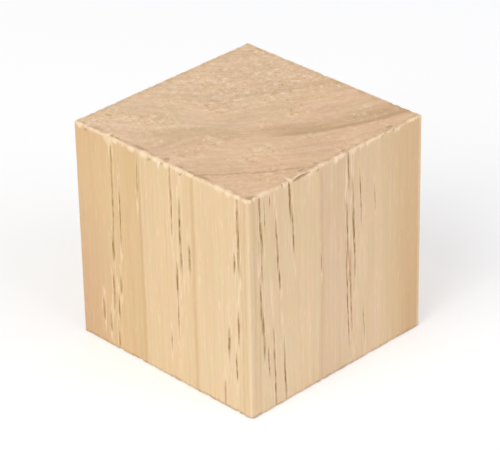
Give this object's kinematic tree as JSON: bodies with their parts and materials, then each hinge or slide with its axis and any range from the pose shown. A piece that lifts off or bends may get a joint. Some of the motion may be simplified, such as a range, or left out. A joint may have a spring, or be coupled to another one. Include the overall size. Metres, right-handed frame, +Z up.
{
  "type": "wooden cube",
  "caption": "Plain softwood cube with sawn end grain on top and base, planed sides, lightly eased arrises and small saw chips; for stacking, counting and craft.",
  "frame": {"origin": "centre of the base face, where the cube rests", "axes": "+Z up along the grain, from the base's end grain to the top's end grain; -Y out of the front and +X out of the right side, both planed long grain"},
  "size_m": [0.04, 0.04, 0.04],
  "materials": {
    "wood": "unfinished pale pine: planed long grain with fine brown resin streaks on the four sides, sawn end grain with broad growth rings on the top and the base"
  },
  "bodies": {
    "root": {"wooden_cube": "wood"}
  },
  "joints": []
}
